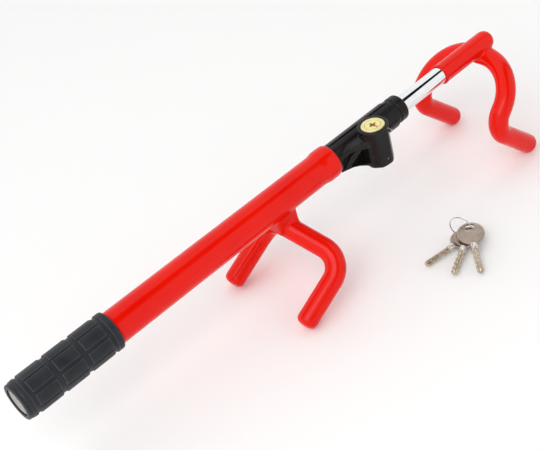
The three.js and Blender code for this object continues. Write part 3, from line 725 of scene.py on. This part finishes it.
def housing_field(x, y, z):
    r = np.hypot(y, z)
    body = r - housing_radius(x)
    body = blend_max(body, x - HOUSING_HI[0], 2.2)
    turn = np.degrees(np.arctan2(z, y))
    ridge = blend_max(r - RIDGE_R, np.maximum(x - RIDGE_END, RIDGE_START - x), 1.5)
    ridge = blend_max(ridge, (turn - 87) * r * math.radians(1), 0.6)
    ridge = np.maximum(ridge, -z - 4)
    belly = blend_max(r - BELLY_R, np.maximum(x - BELLY_END, LOCK_X - 4 - x), 1.5)
    belly = np.maximum(belly, z + 0.5)
    belly = blend_max(belly, y, 1.0)
    body = np.minimum(blend_min(body, belly, 1.2), ridge)
    side = polygon_field(x, z, WEB_SIDE)
    plan = polygon_field(x, y, WEB_PLAN)
    web = blend_max(side, plan, 1.6)
    body = blend_min(body, web, 1.4)
    body = blend_min(body, boss_field(x, y, z), 2.0)
    for outline, inner in POCKETS:
        pocket = blend_max(polygon_field(x, z, outline), y - inner, 0.8)
        body = blend_max(body, -pocket, 0.6)
    for at, from_x, to_x in GROOVES:
        groove = np.abs(turn - at) * r * math.radians(1) - GROOVE_HALF
        groove = np.maximum(groove, np.maximum(x - to_x, from_x - x))
        groove = np.maximum(groove, HOUSING_R - 0.9 - r)
        body = blend_max(body, -groove, 0.5)
    return np.maximum(body, -housing_hollow(x, y, z))


def housing_hollow(x, y, z):
    """Everything that is bored or milled out for the rod, the cylinder and the bolt."""
    post = np.hypot(x - LOCK_X, y - LOCK_Y)
    hollow = shell_along_x(x, y, z, BORE_R)
    hollow = np.minimum(hollow, np.maximum(post - CYLINDER_R - 0.2, CYL_LO[2] - 0.3 - z))
    hollow = np.minimum(hollow, np.maximum(post - PLUG_R - 0.4, -z))
    for node, room in (("locking_bolt", (0.3, 0.4, 0.3)), ("boss_plug", (0.25, 0.25, 0.0))):
        lo, hi = EXTENTS[node]
        hollow = np.minimum(hollow, box_field(x, y, z, lo - room, hi + room))
    wiper_lo, wiper_hi = EXTENTS["rod_wiper"]
    wiper = np.maximum(np.hypot(y, z) - 10, np.abs(x - (wiper_lo[0] + wiper_hi[0]) / 2) - 2)
    hollow = np.minimum(hollow, wiper)
    for node in ("cylinder_pin", "boss_plug_pin"):
        lo, hi = EXTENTS[node]
        mid = (lo + hi) / 2
        bore = np.hypot(x - mid[0], z - mid[2]) - (hi[0] - lo[0]) / 2 - 0.15
        hollow = np.minimum(hollow, np.maximum(bore, np.abs(y - mid[1]) - (hi[1] - lo[1]) / 2 - 6))
    return hollow


EXTENTS = {
    node: extent(node)
    for node in ("locking_bolt", "boss_plug", "rod_wiper", "cylinder_pin", "boss_plug_pin")
}
points, faces = surface(housing_field, HOUSING_LO, HOUSING_HI, 0.42)
piece("cast_lock_housing", place(points), faces, LOOKS["black_casting"], "barrel",
      ["lock_housing"])

# ------------------------------------------------------------------ lock cylinder and key plug
CROSS_WIDTH = 1.0
CROSS_REACH = 3.4
DOT_REACH = 4.85
DOT_TURN = math.radians(-90)
DOT_R = 0.95
HEART_R = 1.75  # round middle of the cross
PLUG_GAP = 0.14


def cylinder_field(x, y, z):
    r = np.hypot(x - LOCK_X, y - LOCK_Y)
    body = blend_max(blend_max(r - CYLINDER_R, z - FACE_Z, 0.7), CYL_LO[2] - z, 0.5)
    line = np.hypot(r - (CYLINDER_R - 1.1), z - FACE_Z) - 0.12
    return blend_max(blend_max(body, -(r - PLUG_R - PLUG_GAP), 0.35), -line, 0.1)


def plug_field(x, y, z):
    dx, dy = x - LOCK_X, y - LOCK_Y
    r = np.hypot(dx, dy)
    body = blend_max(r - PLUG_R, z - FACE_Z - 0.1, 0.5)
    body = np.maximum(body, CYL_LO[2] - 0.2 - z)
    arm = np.maximum(np.abs(dx) - CROSS_WIDTH, np.abs(dy) - CROSS_REACH)
    other = np.maximum(np.abs(dy) - CROSS_WIDTH, np.abs(dx) - CROSS_REACH)
    heart = r - HEART_R
    cross = np.maximum(blend_min(np.minimum(arm, other), heart, 0.5), CYL_LO[2] + 3 - z)
    body = blend_max(body, -cross, 0.35)
    dot = np.hypot(dx - DOT_REACH * math.cos(DOT_TURN), dy - DOT_REACH * math.sin(DOT_TURN))
    return np.maximum(body, -np.maximum(dot - DOT_R - 0.05, FACE_Z - 0.35 - z))


points, faces = surface(cylinder_field, CYL_LO, CYL_HI, 0.26)
piece("cylinder_shell", place(points), faces, LOOKS["gold_brass"], "barrel",
      ["cylinder_body"])
PLUG_LO, PLUG_HI = extent("key_plug")
points, faces = surface(plug_field, PLUG_LO + (0, 0, 1.4), PLUG_HI, 0.24)
piece("plug_with_keyway", place(points), faces, LOOKS["gold_brass"], "lock_plug",
      ["key_plug"])
dot_x = LOCK_X + DOT_REACH * math.cos(DOT_TURN)
dot_y = LOCK_Y + DOT_REACH * math.sin(DOT_TURN)
points, faces = lathe([
    (0, 0), (0, DOT_R - 0.02), (0.2, DOT_R), (0.42, DOT_R - 0.08), (0.5, DOT_R - 0.3), (0.52, 0),
], 32)
points = points[:, [1, 2, 0]] + (dot_x, dot_y, FACE_Z - 0.4)
piece("index_dot", place(points), faces, red_paint(), "lock_plug", [])

# ------------------------------------------------------------------ rod
BUSH_LO, BUSH_HI = extent("rod_tail_bush")


ROD_SEAT_R = 6.6  # the bush's groove near the tail


def rod_profile():
    tail, end = ROD_LO[0], ROD_HI[0]
    profile = [(tail, 0), (tail, ROD_R - 1.2), (tail + 0.4, ROD_R - 0.5), (tail + 1.2, ROD_R)]
    profile += [(BUSH_LO[0] - 0.3, ROD_R), (BUSH_LO[0] - 0.3, ROD_SEAT_R)]
    profile += [(BUSH_HI[0] + 0.3, ROD_SEAT_R), (BUSH_HI[0] + 0.3, ROD_R)]
    for i in reversed(range(NOTCH_COUNT)):
        middle = LOCK_X - i * NOTCH_PITCH
        for side in (-1, 1):
            edge = [
                (NOTCH_HALF + 1.3, ROD_R), (NOTCH_HALF + 1.0, ROD_R - 0.12),
                (NOTCH_HALF + 0.2, NOTCH_R + 0.3), (NOTCH_HALF - 0.4, NOTCH_R),
            ]
            stretch = [(middle + side * dx, r) for dx, r in edge]
            profile += stretch if side < 0 else stretch[::-1]
    profile += [(end - 1.6, ROD_R), (end - 0.4, ROD_R - 0.7), (end, ROD_R - 2), (end, 0)]
    return profile


points, faces = lathe(rod_profile(), 120)
piece("chromed_rod", place(points), faces, LOOKS["chrome"], "rod", ["rod"], 25)


# ------------------------------------------------------------------ keys
KEY_LENGTH = 52.0
BOW_R = 12.2
BOW_OFFSET = 7.4
BOW_HALF = 1.1
HOLE_R = 3.1
SHOULDER_R = 3.2
SHOULDER_X = (19.9, 26.0)
FIN_HALF = 0.85
FIN_REACH = 3.05
TAB_HALF = 2.4  # the bow's tab inside the shoulder
TAB_END = 22.6
PANEL_EDGE = 2.2  # raised edge round the bow
PANEL_DEPTH = 0.28
CORE_R = 1.35
CUTS = 4  # notches along each fin
CUT_START = 29.5
CUT_PITCH = 5.4


def bow_field(x, y, z):
    disc = np.hypot(x - BOW_OFFSET, y) - BOW_R
    neck = np.maximum(np.abs(y) - TAB_HALF, np.maximum(x - TAB_END, 10 - x))
    outline = blend_min(disc, neck, 2.5)
    hole = np.hypot(x, np.maximum(np.abs(y) - 1.3, 0)) - HOLE_R
    body = blend_max(blend_max(outline, np.abs(z) - BOW_HALF, 0.5), -hole, 0.5)
    panel = np.maximum(np.hypot(x - BOW_OFFSET, y) - BOW_R + PANEL_EDGE, -(hole - 1.6))
    recess = np.maximum(panel, BOW_HALF - PANEL_DEPTH - np.abs(z))
    return blend_max(body, -recess, 0.3)


def blade_field(x, y, z):
    r = np.hypot(y, z)
    shoulder = blend_max(r - SHOULDER_R, np.maximum(SHOULDER_X[0] - x, x - SHOULDER_X[1]), 0.7)
    shoulder = blend_max(shoulder, -(np.hypot(r - SHOULDER_R, x - 24.3) - 0.45), 0.2)
    fins = np.minimum(np.abs(y), np.abs(z)) - FIN_HALF
    web = r - CORE_R
    reach = np.maximum(np.abs(y), np.abs(z))
    tip = np.interp(x, [25, KEY_LENGTH - 2.2, KEY_LENGTH], [FIN_REACH, FIN_REACH, 1.5])
    profile = np.full(np.shape(x), 9.0)
    for side, own in enumerate((y, z, -y, -z)):
        facing = own >= reach - 1e-9
        for i in range(CUTS):
            centre = CUT_START + CUT_PITCH * i + 1.25 * side
            depth = 1.75 + 0.3 * ((i + 2 * side) % 3)
            notch = depth + np.maximum(np.abs(x - centre) - 0.7, 0) * 1.15
            profile = np.where(facing, np.minimum(profile, notch), profile)
    cross = blend_max(blend_min(fins, web, 0.4), reach - np.minimum(tip, profile), 0.3)
    cross = blend_max(cross, r - FIN_REACH, 0.3)
    cross = np.maximum(cross, np.maximum(SHOULDER_X[1] - 0.5 - x, x - KEY_LENGTH))
    slot = box_field(x, y, z, (17.0, -TAB_HALF - 0.05, -BOW_HALF - 0.05),
                     (TAB_END + 0.1, TAB_HALF + 0.05, BOW_HALF + 0.05))
    return np.maximum(np.minimum(shoulder, cross), -slot)


bow_mesh = surface(bow_field, (-5, -12.3, -1.2), (22.8, 12.3, 1.2), 0.3)
blade_mesh = surface(blade_field, (19.5, -3.3, -3.3), (52.2, 3.3, 3.3), 0.24)
KEY_COUNT = 3
for number in range(1, KEY_COUNT + 1):
    swing = JOINTS[f"key_{number}_swing"]
    hole = np.array(swing["pos_m"], float)
    up = np.array(swing["axis"], float)
    up /= np.linalg.norm(up)
    along = world_points(f"key_blade_{number}").mean(0) - hole
    along -= up * (along @ up)
    along /= np.linalg.norm(along)
    basis = np.array([along, np.cross(up, along), up])
    for part, (points, faces), look in (
        ("bow", bow_mesh, "key_nickel"), ("blade", blade_mesh, "key_bronze")
    ):
        obj = piece(f"key_{number}_{part}", hole + points @ basis * MM, faces, LOOKS[look],
                    f"key_{number}", [f"key_{part}_{number}"])
        if part == "blade":
            obj.data.materials.append(KEY_SHINE)
            for polygon in obj.data.polygons:
                reach = (np.array(polygon.center) - hole) @ along / MM
                polygon.material_index = int(reach < SHOULDER_X[1])

ring_points = world_points("key_ring")
ring_centre = (ring_points.min(0) + ring_points.max(0)) / 2
ring_axes = np.linalg.svd(ring_points - ring_centre, full_matrices=False)[2]
ring_flat = (ring_points - ring_centre) @ ring_axes.T
RING_R = (np.hypot(ring_flat[:, 0], ring_flat[:, 1]).max() - 0.0006) / MM
WIRE_R = 0.33
RING_TURNS = 1.93


def ring_path():
    """Two turns of flat wire side by side, crossing over where the ring opens."""
    path = []
    for i in range(241):
        t = i / 240
        turn = 2 * math.pi * RING_TURNS * t
        lift = WIRE_R * (2 * step(0.42, 0.56, t) - 1)
        path.append((RING_R * math.cos(turn), RING_R * math.sin(turn), lift))
    return path


points, faces = tube(ring_path(), WIRE_R)
piece("split_key_ring", ring_centre + points @ ring_axes * MM, faces, LOOKS["spring_steel"],
      "key_ring", ["key_ring"])


# ------------------------------------------------------------------ floor, light and camera
def floor():
    size = 6.0
    mesh = bpy.data.meshes.new("floor")
    corners = [(-size, -size, 0), (size, -size, 0), (size, size, 0), (-size, size, 0)]
    mesh.from_pydata(corners, [], [(0, 1, 2, 3)])
    obj = bpy.data.objects.new("floor", mesh)
    bpy.context.scene.collection.objects.link(obj)
    g = Graph("floor_white", Roughness=0.9)
    g.shader.inputs["Specular IOR Level"].default_value = 0.1
    tone = g.ramp(g.noise(3.0), (0.3, (0.955, 0.955, 0.95)), (0.7, (0.965, 0.965, 0.96)))
    g.feed("Base Color", tone)
    mesh.materials.append(g.material)


def studio_world():
    """White all round, with one dark gap between the overhead and the front light tents."""
    world = bpy.data.worlds.new("studio")
    world.use_nodes = True
    bpy.context.scene.world = world
    tree = world.node_tree
    back = tree.nodes["Background"]

    def calc(operation, a, b=0.0):
        made = tree.nodes.new("ShaderNodeMath")
        made.operation = operation
        for socket, value in zip(made.inputs, (a, b)):
            if isinstance(value, bpy.types.NodeSocket):
                tree.links.new(value, socket)
            else:
                socket.default_value = value
        return made.outputs[0]

    def smooth(value, lo, hi):
        made = tree.nodes.new("ShaderNodeMapRange")
        made.interpolation_type = "SMOOTHSTEP"
        tree.links.new(value, made.inputs["Value"])
        made.inputs["From Min"].default_value = lo
        made.inputs["From Max"].default_value = hi
        return made.outputs["Result"]

    split = tree.nodes.new("ShaderNodeSeparateXYZ")
    tree.links.new(tree.nodes.new("ShaderNodeTexCoord").outputs["Generated"], split.inputs[0])
    x, y, z = split.outputs
    width = calc("MAXIMUM", calc("SUBTRACT", 0.98, calc("MULTIPLY", x, 1.4)), 0.15)
    below = calc("ADD", calc("ADD", y, 0.03), width)
    front = calc("SUBTRACT", 1.0, smooth(y, -0.06, -0.01))
    gap = calc("MULTIPLY", smooth(below, -0.03, 0.03), front)
    gap = calc("MULTIPLY", gap, smooth(z, 0.02, 0.12))
    gap = calc("MULTIPLY", gap, smooth(x, -0.35, 0.05))
    seen = tree.nodes.new("ShaderNodeLightPath").outputs["Is Camera Ray"]
    gap = calc("MULTIPLY", gap, calc("SUBTRACT", 1.0, seen))
    mix = tree.nodes.new("ShaderNodeMix")
    mix.data_type = "RGBA"
    tree.links.new(gap, mix.inputs["Factor"])
    mix.inputs[6].default_value = (1.0, 1.0, 1.0, 1.0)
    mix.inputs[7].default_value = (0.012, 0.012, 0.013, 1.0)
    tree.links.new(mix.outputs[2], back.inputs["Color"])
    back.inputs["Strength"].default_value = 1.04


def softbox(name, place_at, look_at, size, power):
    light = bpy.data.lights.new(name, "AREA")
    light.shape = "RECTANGLE"
    light.size, light.size_y = size
    light.energy = power
    obj = bpy.data.objects.new(name, light)
    bpy.context.scene.collection.objects.link(obj)
    obj.location = place_at
    obj.rotation_euler = (Vector(look_at) - Vector(place_at)).to_track_quat("-Z", "Y").to_euler()


def camera():
    data = bpy.data.cameras.new("camera")
    data.lens = 80.09
    data.sensor_width = 36.0
    data.shift_x = -0.0015
    data.shift_y = -0.0458
    obj = bpy.data.objects.new("camera", data)
    bpy.context.scene.collection.objects.link(obj)
    obj.location = Vector(START) + Vector((-0.1908, -0.6800, 0.5991))
    obj.rotation_euler = [math.radians(a) for a in (53.613, 11.875, -42.548)]
    bpy.context.scene.camera = obj


floor()
studio_world()
softbox("key_light", (-1.3, -0.9, 1.7), (0.0, 0.0, 0.0), (1.5, 1.5), 16.0)
camera()
bpy.context.scene.view_settings.view_transform = "Standard"
